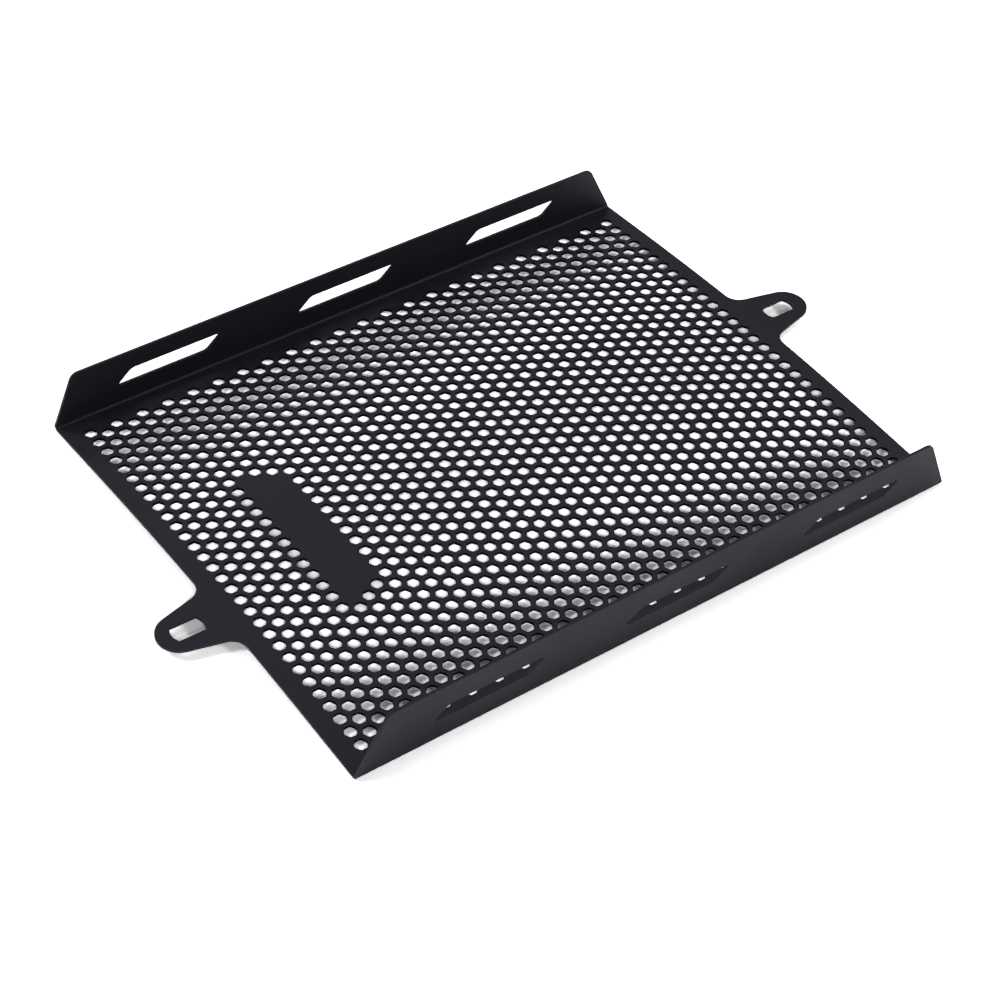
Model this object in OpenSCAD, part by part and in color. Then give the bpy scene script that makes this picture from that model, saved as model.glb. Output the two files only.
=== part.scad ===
// Motorcycle radiator guard: one perforated sheet, folded up along both long sides and crowned
// between the folds, with a slotted flange at the front and back and a fixing tab at each end.
// Units are millimetres. X runs along the folds, Y from the front flange to the back one, Z up.
// The guard lies on the outsides of its two folds at Z = 0.

/* [Sheet] */
// Sheet thickness, coating included
sheet_t = 1.3; // [0.8:0.1:2]
// Inside radius of both folds
bend_r = 1; // [0.5:0.1:3]
// Length of the perforated plate between its two straight ends
plate_l = 286; // [240:1:340]
// Width over the outsides of the two folds
fold_w = 228; // [190:1:272]
// Rise of the plate's middle above its edges at the folds
crown_rise = 4.4; // [0.5:0.1:8]
// How much straighter the crown gets towards the folds, 0 for an even curve
crown_ease = 0.19; // [0:0.01:0.4]

/* [Perforation] */
// Distance between neighbouring hole centres
hole_pitch = 7; // [5.8:0.1:8.4]
// Hole width across its flats
hole_af = 5; // [3:0.1:5.6]
// Least solid rim between the outermost holes and the plate's ends
end_rim = 5; // [3:0.5:8]
// Least solid rim between the outermost holes and the folds
fold_rim = 8.5; // [4:0.5:12]
// Offset of the perforation from the middle of the plate along X
grid_x = 0.7; // [-2:0.1:2]
// Offset of the perforation from the middle of the plate along Y
grid_y = 0.2; // [-2:0.1:2]
// Distance of the unperforated badge area from the middle of the perforation
bare_x = 91; // [60:1:108]
// Width of the unperforated badge area along X
bare_w = 18.2; // [12:0.1:24]
// Length of the unperforated badge area along Y at its outer side
bare_l = 84; // [50:1:110]

/* [Flanges] */
// Outward lean of both flanges from upright, in degrees
lean = 4; // [0:0.5:8]
// Height of the back flange
back_h = 24.3; // [20:0.1:30]
// Height of the front flange
front_h = 29.6; // [24:0.1:36]
// Slant of the flange ends from upright, in degrees
end_slant = 25; // [15:1:32]
// Radius of the flanges' top corners
corner_r = 4.5; // [2:0.1:8]

/* [Flange slots] */
// Slot length from tip to tip
slot_l = 48; // [38:0.1:58]
// Slot height
slot_h = 6; // [5:0.1:8]
// Slant of the slot ends from upright, in degrees
slot_slant = 52; // [38:1:60]
// Radius in the two pointed corners of a slot
slot_tip_r = 0.7; // [0.5:0.1:1.5]
// Radius in the two blunt corners of a slot
slot_blunt_r = 5; // [3:0.1:6.5]
// Distance between neighbouring slots of a flange
slot_step = 87.8; // [72:0.1:105]
// Height of the back flange's slot centres
back_slot_z = 13; // [10:0.1:16]
// Height of the front flange's slot centres
front_slot_z = 15.2; // [12:0.1:19]
// Offset of the back flange's middle slot from the middle of the plate
back_slot_x = -0.4; // [-4:0.1:4]
// Offset of the front flange's middle slot from the middle of the plate
front_slot_x = 2.2; // [-4:0.1:4]

/* [Fixing tabs] */
// Reach of each tab beyond the plate's straight end
tab_out = 27.2; // [22:0.1:34]
// Radius of a tab's rounded tip
tab_r = 9.8; // [7.5:0.1:12]
// Flare of a tab's sides towards the plate, in degrees
tab_flare = 14; // [5:1:20]
// Radius where a tab's sides run into the plate's end
tab_root_r = 7; // [4:0.5:10]
// Length of the bolt slot in a tab, which is the diameter of its bowed ends
tab_slot_l = 13.6; // [11:0.1:17]
// Width of the bolt slot in a tab
tab_slot_w = 7.6; // [5.5:0.1:9.5]
// Rim between the left bolt slot's outer end and its tab's tip
left_tab_rim = 6.1; // [4:0.1:8]
// Rim between the right bolt slot's outer end and its tab's tip
right_tab_rim = 7; // [4:0.1:8]
// Place of the left tab along Y
left_tab_y = -19.6; // [-60:0.1:60]
// Place of the right tab along Y
right_tab_y = 6.9; // [-60:0.1:60]

/* [Hidden] */
coat = [0.05, 0.05, 0.056];
half_l = plate_l / 2;
out_r = bend_r + sheet_t;
mid_r = bend_r + sheet_t / 2;
bend_y = fold_w / 2 - out_r;
edge_tilt = atan(2 * crown_rise * (1 - crown_ease) / bend_y);
edge_y = bend_y - mid_r * sin(edge_tilt);
edge_z = out_r - mid_r * cos(edge_tilt);
col_step = round(hole_pitch * sqrt(3) * 50) / 100;
hole_r = round(hole_af / sqrt(3) * 100) / 100;
cols = floor((half_l - abs(grid_x) - end_rim - hole_r) / col_step);
reach = (bend_y - abs(grid_y) - fold_rim - hole_af / 2) / hole_pitch;
flat_w = 2 * hole_pitch;
bend_n = 5;
// The flanges lean out and differ in height, so this shift puts the guard's middle at Y = 0.
mid_y = round(5 * (side_y(front_h) - side_y(back_h))) / 10;

// Length of a flange past its fold, for its height above the ground.
function leg(h) = (h - out_r + out_r * sin(lean)) / cos(lean);
// Distance of a flange's outer top edge from the middle of the plate.
function side_y(h) = bend_y + out_r * cos(lean) + leg(h) * sin(lean);
// Height of the middle of the sheet's thickness over the crowned plate.
function crown(u) = edge_z + crown_rise * (1 - (1 + crown_ease) * u + crown_ease * u * u);
// The crown is drawn in flats two rows wide that meet on rows of holes, within 0.02 mm of the curve.
// The flats' slopes are whole thousandths.
slope_z = flat_w / 1000;
function crown_z(y) = round(crown(y * y / edge_y / edge_y) / slope_z) * slope_z;
flats = floor(edge_y / flat_w) + 1;
row_y = [for (k = [-flats:flats]) grid_y + k * flat_w];
arch_y = [for (y = row_y) if (abs(y) < edge_y - hole_pitch / 8) y];
// Angles of the fold's flats from straight down, from the plate to the flange.
fold_a = concat([-edge_tilt], [for (i = [0:bend_n]) i * (90 - lean) / bend_n]);

function flip(list) = [for (i = [len(list) - 1:-1:0]) list[i]];
function mirrored(list) = flip([for (p = list) [-p[0], p[1]]]);
function unit(v) = v / norm(v);
function arc(c, r, a0, a1, n) =
  [for (i = [0:n]) c + r * [cos(a0 + (a1 - a0) * i / n), sin(a0 + (a1 - a0) * i / n)]];
// Points of a rounded corner at p between the points a and b, in n chords.
function corner(a, p, b, r, n) =
  let (u = unit(a - p), v = unit(b - p), w = acos(u * v) / 2)
  let (c = p + unit(u + v) * r / sin(w), d0 = u * r / tan(w) + p - c, d1 = v * r / tan(w) + p - c)
  let (a0 = atan2(d0[1], d0[0]), turn = atan2(d1[1], d1[0]) - a0)
  arc(c, r, a0, a0 + (turn > 180 ? turn - 360 : turn < -180 ? turn + 360 : turn), n);

// One face of the sheet at the back: r is the fold's radius on that face.
function side(r, h) = concat(
  [for (a = fold_a) [bend_y + r * sin(a), out_r - r * cos(a)]],
  [[bend_y + r * cos(lean) + leg(h) * sin(lean), out_r - r * sin(lean) + leg(h) * cos(lean)]]);
// The whole sheet seen along the folds, from its underside round to its upper side.
section = concat(
  mirrored(side(out_r, front_h)),
  [for (y = arch_y) [y, crown_z(y) - sheet_t / 2]],
  side(out_r, back_h),
  flip(side(bend_r, back_h)),
  flip([for (y = arch_y) [y, crown_z(y) + sheet_t / 2]]),
  flip(mirrored(side(bend_r, front_h))));

// Outline of one end of the plate with its tab at height y, from front to back.
far_y = fold_w / 2 + 30;
tip_x = half_l + tab_out - tab_r;
flare_x = tip_x + tab_r * sin(tab_flare);
flare_y = tab_r * cos(tab_flare);
root_y = flare_y + (flare_x - half_l) * tan(tab_flare);
function plate_end(y) = concat(
  [[half_l, -far_y]],
  corner([half_l, -far_y], [half_l, y - root_y], [flare_x, y - flare_y], tab_root_r, 5),
  arc([tip_x, y], tab_r, tab_flare - 90, 90 - tab_flare, 14),
  corner([flare_x, y + flare_y], [half_l, y + root_y], [half_l, far_y], tab_root_r, 5),
  [[half_l, far_y]]);

module sheet() {
  intersection() {
    rotate([90, 0, 90])
      linear_extrude(height = 2 * (half_l + tab_out) + 20, center = true)
        polygon(section);
    translate([0, 0, -10])
      linear_extrude(height = 90)
        polygon(concat(plate_end(right_tab_y), mirrored(plate_end(left_tab_y))));
  }
}

// Takes the corner off one end of a flange, from the end of the fold up to the top edge.
function end_cut(h) =
  let (top_x = half_l - leg(h) * tan(end_slant))
  let (c = corner([half_l, 0], [top_x, leg(h)], [0, leg(h)], corner_r, 4), last = c[4])
  concat([[half_l, 0]], c, [[last[0], leg(h) + 10], [half_l + 10, leg(h) + 10], [half_l + 10, 0]]);

// Slots stay clear of the slanted ends however long the plate is.
slot_gap = min(slot_step, half_l - leg(front_h) * tan(end_slant) - slot_l / 2 - 10);
// From a slot's middle to the sharp corner that its pointed end would have.
slot_half = slot_l / 2 + slot_tip_r / tan(45 - slot_slant / 2) - slot_tip_r;
slot_run = slot_h * tan(slot_slant);
p0 = [-slot_half, -slot_h / 2];
p1 = [slot_half - slot_run, -slot_h / 2];
slot_outline = concat(
  corner(-p1, p0, p1, slot_tip_r, 4),
  corner(p0, p1, -p0, slot_blunt_r, 2),
  corner(p1, -p0, -p1, slot_tip_r, 4),
  corner(-p0, -p1, p0, slot_blunt_r, 2));

// Draws cuts through a flange in its own plane, whose origin is the fold's centre.
module flange_cuts(h, slot_x, slot_z) {
  translate([0, bend_y, out_r])
    rotate([90 - lean, 0, 0]) {
      linear_extrude(height = 20, center = true)
        polygon(end_cut(h));
      linear_extrude(height = 20, center = true)
        polygon(mirrored(end_cut(h)));
      for (i = [-1:1])
        translate([slot_x + i * slot_gap, (slot_z - out_r) / cos(lean), 0])
          linear_extrude(height = 20, center = true)
            polygon(slot_outline);
    }
}

// A bolt slot is a round hole narrowed by two straight sides, so its corners are sharp.
module tab_slot(end, rim, y) {
  translate([end * (half_l + tab_out - rim - tab_slot_l / 2), y, -10])
    intersection() {
      cylinder(h = 60, r = tab_slot_l / 2, $fn = 64);
      translate([-tab_slot_l, -tab_slot_w / 2, 0])
        cube([2 * tab_slot_l, tab_slot_w, 60]);
    }
}

// A hole is left out where the badge area is, which narrows towards the middle of the plate.
function bare(x, y) =
  abs(x + bare_x) < bare_w / 2
  && abs(y) < bare_l / 2 - (x + bare_x + bare_w / 2) * tan(30);

module hole(x, y) {
  if (!bare(x, y))
    translate([grid_x + x, grid_y + y, -10])
      linear_extrude(height = 40)
        polygon([[hole_r, 0], [hole_r / 2, hole_af / 2], [-hole_r / 2, hole_af / 2],
          [-hole_r, 0], [-hole_r / 2, -hole_af / 2], [hole_r / 2, -hole_af / 2]]);
}

// Every second column is set half a row further along Y.
module perforation() {
  for (c = [-cols:cols]) {
    odd = abs(c) % 2;
    rows = odd == 1 ? floor(reach) : floor(reach + 0.5) - 0.5;
    for (y = [-rows:rows])
      hole(c * col_step, y * hole_pitch);
  }
}

module guard() {
  color(coat)
    translate([0, mid_y, 0])
      difference() {
        sheet();
        flange_cuts(back_h, back_slot_x, back_slot_z);
        mirror([0, 1, 0])
          flange_cuts(front_h, front_slot_x, front_slot_z);
        tab_slot(-1, left_tab_rim, left_tab_y);
        tab_slot(1, right_tab_rim, right_tab_y);
        perforation();
      }
}

guard();
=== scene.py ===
"""Motorcycle radiator guard: the crowned, perforated and folded sheet with its powder coat."""

import cmath
import math

import bpy
from mathutils import Matrix, Vector
from mathutils.geometry import delaunay_2d_cdt


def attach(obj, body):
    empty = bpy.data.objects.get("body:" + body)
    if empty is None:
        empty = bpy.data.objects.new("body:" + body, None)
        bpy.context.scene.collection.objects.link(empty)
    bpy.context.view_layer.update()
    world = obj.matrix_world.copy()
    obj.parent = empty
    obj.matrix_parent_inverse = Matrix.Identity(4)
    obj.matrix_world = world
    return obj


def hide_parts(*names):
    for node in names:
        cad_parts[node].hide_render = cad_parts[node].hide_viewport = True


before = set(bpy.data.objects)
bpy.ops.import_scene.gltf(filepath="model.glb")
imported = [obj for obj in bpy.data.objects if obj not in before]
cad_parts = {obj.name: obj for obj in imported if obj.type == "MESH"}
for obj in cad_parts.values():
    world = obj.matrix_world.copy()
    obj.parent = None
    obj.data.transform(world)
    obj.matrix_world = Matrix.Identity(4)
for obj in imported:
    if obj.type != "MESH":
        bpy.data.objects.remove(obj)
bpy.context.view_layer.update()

# Sizes in millimetres, the same as those of the solid: first the sheet, its folds and its crown.
SHEET_T = 1.3
BEND_R = 1.0
PLATE_L = 286.0
FOLD_W = 228.0
CROWN_RISE = 4.4
CROWN_EASE = 0.19
MID_Y = 0.2
# The grid of holes, and the badge area that stays bare.
PITCH = 7.0
HOLE_AF = 5.0
GRID_X, GRID_Y = 0.7, 0.2
COLS = 22
EVEN_ROWS, ODD_ROWS = 14.5, 14
BARE_X, BARE_W, BARE_L = 91.0, 18.2, 84.0
# The flanges and their slots.
LEAN = math.radians(4)
BACK_H, FRONT_H = 24.3, 29.6
END_SLANT = math.radians(25)
CORNER_R = 4.5
SLOT_L, SLOT_H = 48.0, 6.0
SLOT_SLANT = math.radians(52)
SLOT_TIP_R, SLOT_BLUNT_R = 0.7, 5.0
SLOT_STEP = 87.8
BACK_SLOT = (-0.4, 13.0)
FRONT_SLOT = (2.2, 15.2)
# The tabs and their slots.
TAB_OUT, TAB_R = 27.2, 9.8
TAB_FLARE = math.radians(14)
TAB_ROOT_R = 7.0
TAB_SLOT_L, TAB_SLOT_W = 13.6, 7.6
LEFT_TAB_RIM, RIGHT_TAB_RIM = 6.1, 7.0
LEFT_TAB_Y, RIGHT_TAB_Y = -19.6, 6.9
# The coat, in the render only. It builds up in the holes, rounds their corners and softens every cut.
HOLE_COAT = 0.05
HOLE_CORNER_R = 0.7
HOLE_EDGE_R = 0.05
EDGE_R = 0.15

# How finely the mesh is divided: stretches of each arc, cells along a fold, longest stretches of the outline.
BEND_STEPS = 10
CORNER_STEPS = 12
TIP_STEPS, BLUNT_STEPS = 8, 10
ROOT_STEPS, TAB_STEPS, TAB_SLOT_STEPS = 10, 36, 12
FOLD_CELLS = 40
PLATE_STEP, FLANGE_STEP = 3.5, 8.0
# Points of an outline that are nearer than SAME are one. The others leave room for rounding errors.
SAME, TINY, NO_AREA = 1e-4, 1e-6, 1e-7

HALF_L = PLATE_L / 2
OUT_R = BEND_R + SHEET_T
MID_R = BEND_R + SHEET_T / 2
BEND_Y = FOLD_W / 2 - OUT_R
TILT = math.atan(2 * CROWN_RISE * (1 - CROWN_EASE) / BEND_Y)
EDGE_Y = BEND_Y - MID_R * math.sin(TILT)
EDGE_Z = OUT_R - MID_R * math.cos(TILT)
FLANGE_Q = EDGE_Y + MID_R * (math.pi / 2 - LEAN + TILT)

# Points of the unfolded sheet are complex numbers: x along the folds, q across them.


def flange_length(h):
    """Length of a flange along its lean, from its fold up to height h."""
    return (h - OUT_R + OUT_R * math.sin(LEAN)) / math.cos(LEAN)


def section(q):
    """Middle of the sheet as (y, z), and its upward normal, at distance q across the unfolded sheet."""
    side, a = (1 if q >= 0 else -1), abs(q)
    if a <= EDGE_Y:
        u = (a / EDGE_Y) ** 2
        z = EDGE_Z + CROWN_RISE * (1 - (1 + CROWN_EASE) * u + CROWN_EASE * u * u)
        slope = CROWN_RISE * (4 * CROWN_EASE * u - 2 * (1 + CROWN_EASE)) * a / EDGE_Y ** 2
        n = math.hypot(1, slope)
        return (side * a, z), (-side * slope / n, 1 / n)
    turn = min((a - EDGE_Y) / MID_R - TILT, math.pi / 2 - LEAN)
    s, c, up = math.sin(turn), math.cos(turn), max(0.0, a - FLANGE_Q)
    y, z = BEND_Y + MID_R * s + up * c, OUT_R - MID_R * c + up * s
    return (side * y, z), (-side * s, c)


def arc(centre, r, a0, a1, n):
    """Points of an arc from angle a0 to a1, in n stretches."""
    return [centre + cmath.rect(r, a0 + (a1 - a0) * i / n) for i in range(n + 1)]


def corner(a, p, b, r, n):
    """Points of a rounded corner at p between a and b."""
    u, v = (a - p) / abs(a - p), (b - p) / abs(b - p)
    half = abs(cmath.phase(v / u)) / 2
    centre = p + (u + v) / abs(u + v) * (r / math.sin(half))
    start, end = p + u * (r / math.tan(half)) - centre, p + v * (r / math.tan(half)) - centre
    a0 = cmath.phase(start)
    return arc(centre, r, a0, a0 + cmath.phase(end / start), n)


def divided(points, step):
    """The same line with its longer stretches divided to at most step."""
    out = []
    for a, b in zip(points, points[1:]):
        k = max(1, math.ceil(abs(b - a) / step - TINY))
        out += [a + (b - a) * j / k for j in range(k)]
    return out + [points[-1]]


def mirrored(points):
    """The same line at the other end of the sheet, running the other way."""
    return [-p.conjugate() for p in reversed(points)]


def plate_end(tab_y):
    """The right end of the plate with its tab, from the front fold to the back one."""
    tip = complex(HALF_L + TAB_OUT - TAB_R, tab_y)
    flare = cmath.rect(TAB_R, math.pi / 2 - TAB_FLARE)
    up, down = tip + flare, tip + flare.conjugate()
    root = flare.imag + (up.real - HALF_L) * math.tan(TAB_FLARE)
    start, end = complex(HALF_L, -EDGE_Y), complex(HALF_L, EDGE_Y)
    a = math.pi / 2 - TAB_FLARE
    return ([start] + corner(start, complex(HALF_L, tab_y - root), down, TAB_ROOT_R, ROOT_STEPS)
            + arc(tip, TAB_R, -a, a, TAB_STEPS)
            + corner(up, complex(HALF_L, tab_y + root), end, TAB_ROOT_R, ROOT_STEPS) + [end])


def flange_end(h):
    """The right end of a flange, from its fold to its free edge."""
    top = flange_length(h)
    foot, tip = complex(HALF_L, 0), complex(HALF_L - top * math.tan(END_SLANT), top)
    return [foot] + corner(foot, tip, complex(0, top), CORNER_R, CORNER_STEPS)


def slot_outline(centre):
    """A flange's slot: two sharp corners with a small radius and two blunt ones with a large one."""
    half = SLOT_L / 2 + SLOT_TIP_R / math.tan(math.pi / 4 - SLOT_SLANT / 2) - SLOT_TIP_R
    run, h = SLOT_H * math.tan(SLOT_SLANT), SLOT_H / 2
    p = [complex(-half, -h), complex(half - run, -h), complex(half, h), complex(run - half, h)]
    out = []
    for i in range(4):
        r, n = ((SLOT_TIP_R, TIP_STEPS), (SLOT_BLUNT_R, BLUNT_STEPS))[i % 2]
        out += corner(p[i - 1], p[i], p[(i + 1) % 4], r, n)
    return [centre + v for v in out]


def tab_slot(end, rim, y):
    """A round hole narrowed by two straight sides, in the tab at the left end, -1, or the right one, 1."""
    centre = complex(end * (HALF_L + TAB_OUT - rim - TAB_SLOT_L / 2), y)
    r, a = TAB_SLOT_L / 2, math.asin(TAB_SLOT_W / TAB_SLOT_L)
    return arc(centre, r, -a, a, TAB_SLOT_STEPS) + arc(centre, r, math.pi - a, math.pi + a, TAB_SLOT_STEPS)


def hole_outline():
    """A hexagon with its points along x and small rounded corners, with the normal of each side's ends."""
    r, cut = (HOLE_AF - 2 * HOLE_COAT) / math.sqrt(3), HOLE_CORNER_R * math.tan(math.radians(30))
    points, normals = [], []
    for k in range(6):
        p, q = cmath.rect(r, math.radians(60 * k)), cmath.rect(r, math.radians(60 * k + 60))
        side = (q - p) / abs(q - p)
        points += [p + side * cut, q - side * cut]
        normals += [side * -1j] * 2
    return points, normals


def rounded(p):
    """The point to a ten-thousandth of a millimetre, so that points that meet are equal."""
    return complex(round(p.real, 4), round(p.imag, 4))


class Sheet:
    """Gathers the folded sheet's vertices, their normals and the faces."""

    def __init__(self):
        self.co, self.no, self.faces, self.in_hole = [], [], [], []
        self.skins = {}

    def point(self, p, off, normal=None):
        """One vertex, off millimetres above the middle of the sheet, in its folded place."""
        (y, z), (ny, nz) = section(p.imag)
        self.co.append((p.real / 1000, (y + ny * off + MID_Y) / 1000, (z + nz * off) / 1000))
        if normal is None:
            self.no.append((0, ny, nz) if off > 0 else (0, -ny, -nz))
        else:
            self.no.append((normal.real, normal.imag * nz, -normal.imag * ny))
        return len(self.co) - 1

    def skin(self, p):
        """The same point on the upper and the under side, kept once."""
        key = rounded(p)
        if key not in self.skins:
            self.skins[key] = self.point(p, SHEET_T / 2), self.point(p, -SHEET_T / 2)
        return self.skins[key]

    def flat(self, points):
        """A face of both skins. Its points run anticlockwise seen from above."""
        both = [self.skin(p) for p in points]
        self.faces += [[t for t, _ in both], [b for _, b in reversed(both)]]
        self.in_hole += [0, 0]

    def wall(self, outer, inner, normals, edge=EDGE_R, in_hole=0):
        """The cut edge along a closed line with the material on its left. inner is where the skins end."""
        h = SHEET_T / 2 - edge
        rings = [[self.skin(p)[0] for p in inner],
                 [self.point(p, h, n) for p, n in zip(outer, normals)],
                 [self.point(p, -h, n) for p, n in zip(outer, normals)],
                 [self.skin(p)[1] for p in inner]]
        for a, b in zip(rings, rings[1:]):
            for i in range(len(outer)):
                self.faces.append([a[i - 1], b[i - 1], b[i], a[i]])
                self.in_hole.append(in_hole)


def without_repeats(loop):
    """A closed line without the points that repeat the one before."""
    return [p for p, before in zip(loop, loop[-1:] + loop[:-1]) if abs(p - before) > SAME]


# At a sharp corner the skin isn't drawn back further than this allows.
LEAST_SPREAD = 0.4


def edge_lines(loop):
    """For a closed line with the material on its left: where the flat skin ends, and the outward normals."""
    inner, normals = [], []
    for before, p, after in zip(loop[-1:] + loop[:-1], loop, loop[1:] + loop[:1]):
        n0, n1 = (p - before) / abs(p - before) * -1j, (after - p) / abs(after - p) * -1j
        m = (n0 + n1) / abs(n0 + n1)
        spread = (m.conjugate() * n0).real
        inner.append(p - m * EDGE_R / max(LEAST_SPREAD, spread))
        normals.append(m)
    return inner, normals


def inside(p, loop):
    """Whether a point is within a closed line."""
    hit = False
    for a, b in zip(loop, loop[1:] + loop[:1]):
        if (a.imag > p.imag) != (b.imag > p.imag):
            if p.real < a.real + (b.real - a.real) * (p.imag - a.imag) / (b.imag - a.imag):
                hit = not hit
    return hit


def fill(sheet, outline, voids):
    """Triangles between a closed outline and the closed voids in it."""
    co, edges = [], []
    for loop in [outline] + voids:
        base, n = len(co), len(loop)
        co += [Vector((p.real, p.imag)) for p in map(rounded, loop)]
        edges += [(base + i, base + (i + 1) % n) for i in range(n)]
    verts, _, triangles, _, _, _ = delaunay_2d_cdt(co, edges, [], 0, NO_AREA, True)
    spans = [(v, min(p.real for p in v), max(p.real for p in v),
              min(p.imag for p in v), max(p.imag for p in v)) for v in voids]
    for triangle in triangles:
        a, b, c = [complex(*verts[i]) for i in triangle]
        mid, area = (a + b + c) / 3, ((b - a).conjugate() * (c - a)).imag
        if abs(area) < NO_AREA or not inside(mid, outline):
            continue
        if any(x0 < mid.real < x1 and y0 < mid.imag < y1 and inside(mid, v) for v, x0, x1, y0, y1 in spans):
            continue
        sheet.flat([a, b, c] if area > 0 else [a, c, b])


def bare(x, y):
    """Whether a place of the grid is in the badge area, which has no holes and slanting ends."""
    past = x + BARE_X + BARE_W / 2
    return 0 < past < BARE_W and abs(y) < BARE_L / 2 - past * math.tan(math.radians(30))


def perforation(sheet):
    """One cell for each place of the grid, with its hole unless the place is bare. Returns their outline."""
    hole, hole_n = hole_outline()
    step, rim = PITCH * math.sqrt(3) / 2, PITCH / math.sqrt(3)
    grid = complex(GRID_X, GRID_Y)
    sides = set()
    for c in range(-COLS, COLS + 1):
        last = ODD_ROWS if c % 2 else EVEN_ROWS
        for k in range(round(2 * last) + 1):
            at = complex(c * step, (k - last) * PITCH)
            middle = grid + at
            cell = [rounded(middle + cmath.rect(rim, math.radians(60 * i))) for i in range(6)]
            for a, b in zip(cell, cell[1:] + cell[:1]):
                if (b, a) in sides:
                    sides.remove((b, a))
                else:
                    sides.add((a, b))
            if bare(at.real, at.imag):
                for i in range(6):
                    sheet.flat([middle, cell[i], cell[(i + 1) % 6]])
                continue
            outer = [middle + p for p in hole]
            inner = [p + n * HOLE_EDGE_R for p, n in zip(outer, hole_n)]
            for i in range(6):
                a, b, after = inner[2 * i], inner[2 * i + 1], inner[(2 * i + 2) % 12]
                sheet.flat([a, cell[i], cell[(i + 1) % 6], b])
                sheet.flat([b, cell[(i + 1) % 6], after])
            # The hole's line is turned round, so that the material is on its left.
            # Its wall takes the second, darker coat: painted shade in the hole.
            sheet.wall(outer[::-1], inner[::-1], [-n for n in hole_n[::-1]], HOLE_EDGE_R, in_hole=1)
    follow = dict(sides)
    line = [min(follow, key=lambda p: (p.real, p.imag))]
    while follow[line[-1]] != line[0]:
        line.append(follow[line[-1]])
    return line


def build_guard():
    """The whole sheet: perforated plate, folds, flanges and tabs, as one mesh."""
    sheet = Sheet()
    zigzag = perforation(sheet)

    bend = [EDGE_Y + (FLANGE_Q - EDGE_Y) * i / BEND_STEPS for i in range(BEND_STEPS + 1)]
    bend_end = [complex(HALF_L, q) for q in bend[1:-1]]
    back = [p + FLANGE_Q * 1j for p in flange_end(BACK_H)]
    front = [p + FLANGE_Q * 1j for p in flange_end(FRONT_H)]

    def right_end(flange):
        """From the top of a flange's rounded corner down to the plate, on the side of positive q."""
        return flange[::-1] + bend_end[::-1]

    down = [p.conjugate() for p in right_end(front)]
    right = down + divided(plate_end(RIGHT_TAB_Y), PLATE_STEP) + right_end(back)[::-1]
    left = mirrored(down + divided(plate_end(LEFT_TAB_Y), PLATE_STEP) + right_end(back)[::-1])
    top_line = divided([right[-1], left[0]], FLANGE_STEP)[1:-1]
    low_line = divided([left[-1], right[0]], FLANGE_STEP)[1:-1]
    loop = without_repeats(right + top_line + left + low_line)
    inner, normals = edge_lines(loop)
    sheet.wall(loop, inner, normals)

    # Rows of points along the folds, between the places where the flat skins end.
    xs = [(HALF_L - EDGE_R) * (2 * i / FOLD_CELLS - 1) for i in range(FOLD_CELLS + 1)]
    rows = {}
    for q in bend + [-q for q in bend]:
        ends = sorted((a for a, p in zip(inner, loop)
                       if abs(p.imag - q) < TINY and abs(p.real) > HALF_L - TINY), key=lambda p: p.real)
        rows[q] = [ends[0]] + [complex(x, q) for x in xs[1:-1]] + [ends[-1]]
    for a, b in zip(bend, bend[1:]):
        for lower, upper in ((rows[a], rows[b]), (rows[-b], rows[-a])):
            for i in range(FOLD_CELLS):
                sheet.flat([lower[i], lower[i + 1], upper[i + 1], upper[i]])

    voids = []
    for (x0, z0), side in ((BACK_SLOT, 1), (FRONT_SLOT, -1)):
        up = FLANGE_Q + flange_length(z0)
        for i in (-1, 0, 1):
            line = slot_outline(complex(x0 + i * SLOT_STEP, 0))
            line = [complex(p.real, side * (up + p.imag)) for p in line]
            voids.append(line[::-1] if side > 0 else line)
    voids += [tab_slot(-1, LEFT_TAB_RIM, LEFT_TAB_Y)[::-1], tab_slot(1, RIGHT_TAB_RIM, RIGHT_TAB_Y)[::-1]]
    rims = []
    for line in voids:
        line = without_repeats(line)
        rim, out = edge_lines(line)
        sheet.wall(line, rim, out)
        rims.append(rim)

    def plate_rim(side):
        """Where the flat skin ends along one end of the plate."""
        return [a for a, p in zip(inner, loop) if abs(p.imag) < EDGE_Y + TINY and side * p.real > 0]

    # The plate round its holes and tab slots, then the back flange, then the front one.
    plate = rows[-EDGE_Y][1:-1] + plate_rim(1) + rows[EDGE_Y][-2:0:-1] + plate_rim(-1)
    fill(sheet, plate, [zigzag] + rims[6:])
    flange = [a for a, p in zip(inner, loop) if p.imag > FLANGE_Q - TINY]
    fill(sheet, rows[FLANGE_Q][1:-1] + flange, rims[:3])
    start = next(i for i, p in enumerate(loop) if p.imag < -FLANGE_Q + TINY and p.real < 0)
    turned = inner[start:] + inner[:start], loop[start:] + loop[:start]
    flange = [a for a, p in zip(*turned) if p.imag < -FLANGE_Q + TINY]
    fill(sheet, flange + rows[-FLANGE_Q][-2:0:-1], rims[3:6])

    mesh = bpy.data.meshes.new("guard_sheet")
    mesh.from_pydata(sheet.co, [], sheet.faces)
    mesh.polygons.foreach_set("use_smooth", [True] * len(mesh.polygons))
    # Hole walls take the second coat, whose darker tones are painted shade.
    mesh.polygons.foreach_set("material_index", sheet.in_hole)
    mesh.normals_split_custom_set_from_vertices(sheet.no)
    mesh.update()
    obj = bpy.data.objects.new("guard_sheet", mesh)
    bpy.context.scene.collection.objects.link(obj)
    return obj


guard = build_guard()


def node(tree, kind, inputs=(), **settings):
    """A new shader node with its settings and the values of its inputs."""
    n = tree.nodes.new(kind)
    for k, v in settings.items():
        setattr(n, k, v)
    for k, v in dict(inputs).items():
        n.inputs[k].default_value = v
    return n


# Features of the coat, in noise cells a metre: fine grain, orange peel, and clouds in tone and gloss.
GRAIN, PEEL, CLOUDS = 1500.0, 420.0, 22.0
COOL_SHEEN = (0.84, 0.81, 1.0, 1)


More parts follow.
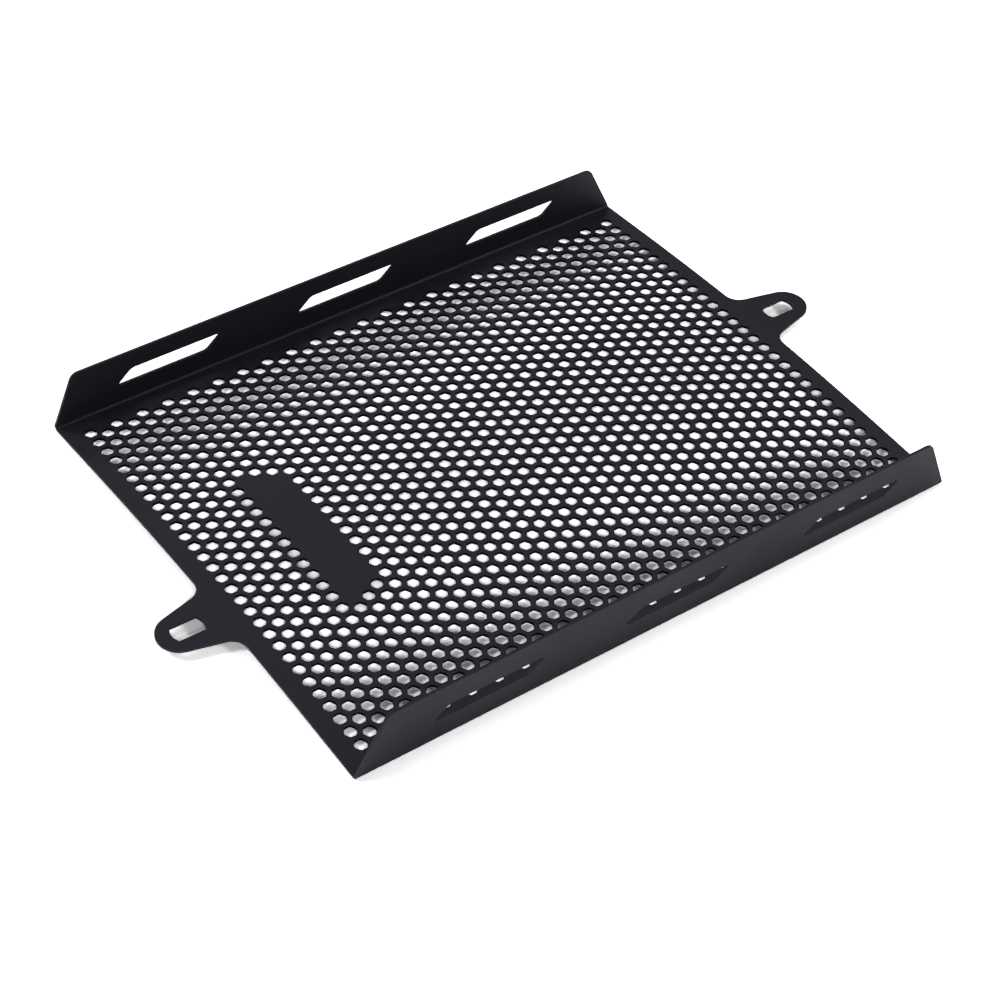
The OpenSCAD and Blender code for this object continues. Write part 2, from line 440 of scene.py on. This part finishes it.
def powder_coat(name, shine, rough, tones):
    """Black powder coat: a fine orange-peel surface with slight unevenness in tone and gloss."""
    mat = bpy.data.materials.new(name)
    mat.use_nodes = True
    t = mat.node_tree
    t.nodes.clear()
    link = t.links.new
    out = node(t, "ShaderNodeOutputMaterial")
    bsdf = node(t, "ShaderNodeBsdfPrincipled",
                {"IOR": 1.5, "Specular IOR Level": shine, "Specular Tint": COOL_SHEEN})
    where = node(t, "ShaderNodeTexCoord")
    grain = node(t, "ShaderNodeTexNoise", {"Scale": GRAIN, "Detail": 3.0, "Roughness": 0.55})
    peel = node(t, "ShaderNodeTexNoise", {"Scale": PEEL, "Detail": 2.0, "Roughness": 0.5})
    cloud = node(t, "ShaderNodeTexNoise", {"Scale": CLOUDS, "Detail": 3.0, "Roughness": 0.55})
    tone = node(t, "ShaderNodeMixRGB", {"Color1": tones[0], "Color2": tones[1]})
    gloss = node(t, "ShaderNodeMapRange",
                 {"From Min": 0.3, "From Max": 0.7, "To Min": rough[0], "To Max": rough[1]})
    fine = node(t, "ShaderNodeBump", {"Strength": 0.22, "Distance": 0.00012})
    wave = node(t, "ShaderNodeBump", {"Strength": 0.18, "Distance": 0.0002})
    for n in (grain, peel, cloud):
        link(where.outputs["Object"], n.inputs["Vector"])
    link(cloud.outputs["Fac"], tone.inputs["Fac"])
    link(cloud.outputs["Fac"], gloss.inputs["Value"])
    link(gloss.outputs["Result"], bsdf.inputs["Roughness"])
    link(tone.outputs["Color"], bsdf.inputs["Base Color"])
    link(peel.outputs["Fac"], wave.inputs["Height"])
    link(grain.outputs["Fac"], fine.inputs["Height"])
    link(wave.outputs["Normal"], fine.inputs["Normal"])
    link(fine.outputs["Normal"], bsdf.inputs["Normal"])
    link(bsdf.outputs["BSDF"], out.inputs["Surface"])
    return mat


# Satin on the faces. The hole walls get a matt coat whose darker tones and weaker gloss are painted shade,
# standing in for the shade that falls in the holes.
coat = powder_coat("powder_coat", shine=0.43, rough=(0.56, 0.64),
                   tones=((0.0034, 0.0030, 0.0056, 1), (0.0048, 0.0043, 0.0076, 1)))
hole_wall_painted_shade = powder_coat("powder_coat_painted_shade_in_holes", shine=0.1, rough=(0.8, 0.9),
                   tones=((0.0022, 0.0020, 0.0032, 1), (0.0030, 0.0027, 0.0042, 1)))
guard.data.materials.append(coat)
guard.data.materials.append(hole_wall_painted_shade)
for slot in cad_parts["guard"].material_slots:
    slot.material = coat
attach(guard, "root")
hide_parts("guard")

# How white the floor is, and how much whiter it looks in reflections and to the camera, because the
# photograph's floor is overexposed. The lamps on the guard stay weak.
FLOOR_WHITE = 0.9
MORE_IN_REFLECTIONS = 0.95
MORE_TO_CAMERA = 1.4
FLOOR_R = 0.9
FLOOR_SIDES = 72


def floor():
    """A round pale floor. Past its edge the world is as white as it is."""
    mat = bpy.data.materials.new("pale_floor")
    mat.use_nodes = True
    t = mat.node_tree
    t.nodes.clear()
    out = node(t, "ShaderNodeOutputMaterial")
    path = node(t, "ShaderNodeLightPath")
    seen = node(t, "ShaderNodeMath", {1: MORE_TO_CAMERA, 2: FLOOR_WHITE}, operation="MULTIPLY_ADD")
    both = node(t, "ShaderNodeMath", {1: MORE_IN_REFLECTIONS}, operation="MULTIPLY_ADD")
    plain = node(t, "ShaderNodeBsdfDiffuse", {"Roughness": 1.0})
    t.links.new(path.outputs["Is Camera Ray"], seen.inputs[0])
    t.links.new(path.outputs["Is Glossy Ray"], both.inputs[0])
    t.links.new(seen.outputs[0], both.inputs[2])
    t.links.new(both.outputs[0], plain.inputs["Color"])
    t.links.new(plain.outputs[0], out.inputs["Surface"])
    mesh = bpy.data.meshes.new("floor")
    rim = [cmath.rect(FLOOR_R, math.tau * i / FLOOR_SIDES) for i in range(FLOOR_SIDES)]
    mesh.from_pydata([(p.real, p.imag, 0) for p in rim], [], [range(FLOOR_SIDES)])
    mesh.materials.append(mat)
    obj = bpy.data.objects.new("floor", mesh)
    bpy.context.scene.collection.objects.link(obj)


floor()

LAMP_SIZE = 0.3


def softbox(name, azimuth, elevation, distance, level):
    """A square lamp aimed at the guard. level is how bright it alone makes a white sheet there."""
    lamp = bpy.data.lights.new(name, "AREA")
    lamp.shape = "SQUARE"
    lamp.size = LAMP_SIZE
    a, e = math.radians(azimuth), math.radians(elevation)
    at = Vector((math.cos(a) * math.cos(e), math.sin(a) * math.cos(e), math.sin(e))) * distance
    lamp.energy = level * (math.pi * distance) ** 2 / math.sin(e)
    obj = bpy.data.objects.new(name, lamp)
    obj.location = at
    obj.rotation_mode = "QUATERNION"
    obj.rotation_quaternion = (-at).to_track_quat("-Z", "Y")
    bpy.context.scene.collection.objects.link(obj)


# Angles in degrees, distances in metres.
softbox("left", 150, 45, 1.4, 0.20)
softbox("back", 100, 50, 1.4, 0.11)
softbox("low", 60, 30, 1.2, 0.035)
softbox("right", 0, 50, 1.4, 0.20)
softbox("front", 300, 32, 1.4, 0.13)
softbox("fill", 240, 38, 1.4, 0.08)

ROOM_LIGHT = 0.07


def studio():
    """Weak light from all sides, seen by the camera as white."""
    world = bpy.data.worlds.new("studio")
    world.use_nodes = True
    t = world.node_tree
    t.nodes.clear()
    dim = node(t, "ShaderNodeBackground", {"Color": (1, 1, 1, 1), "Strength": ROOM_LIGHT})
    white = node(t, "ShaderNodeBackground", {"Color": (1, 1, 1, 1), "Strength": 1.0})
    pick = node(t, "ShaderNodeMixShader")
    t.links.new(node(t, "ShaderNodeLightPath").outputs["Is Camera Ray"], pick.inputs[0])
    t.links.new(dim.outputs[0], pick.inputs[1])
    t.links.new(white.outputs[0], pick.inputs[2])
    t.links.new(pick.outputs[0], node(t, "ShaderNodeOutputWorld").inputs["Surface"])
    bpy.context.scene.world = world


studio()

# Where the photograph's hole grid puts the camera: its place in metres, its three directions, and its focal
# length in pixels of a frame 1000 wide.
EYE_AT = (-0.450573, -0.593282, 0.671660)
RIGHT = Vector((0.813977, -0.579804, 0.035611))
BELOW = Vector((-0.375021, -0.571324, -0.730033))
AHEAD = Vector((0.443622, 0.580875, -0.682484))
FOCAL_PX, FRAME_PX = 2436.985, 1000
SENSOR_MM = 36


def camera():
    """The camera, with its frame as wide as the photograph."""
    cam = bpy.data.cameras.new("camera")
    cam.sensor_fit = "HORIZONTAL"
    cam.sensor_width = SENSOR_MM
    cam.lens = SENSOR_MM * FOCAL_PX / FRAME_PX
    cam.clip_start, cam.clip_end = 0.05, 20
    eye = bpy.data.objects.new("camera", cam)
    eye.rotation_mode = "QUATERNION"
    eye.rotation_quaternion = Matrix((RIGHT, -BELOW, -AHEAD)).transposed().to_quaternion()
    eye.location = EYE_AT
    bpy.context.scene.collection.objects.link(eye)
    bpy.context.scene.camera = eye


camera()
bpy.context.scene.view_settings.view_transform = "Standard"
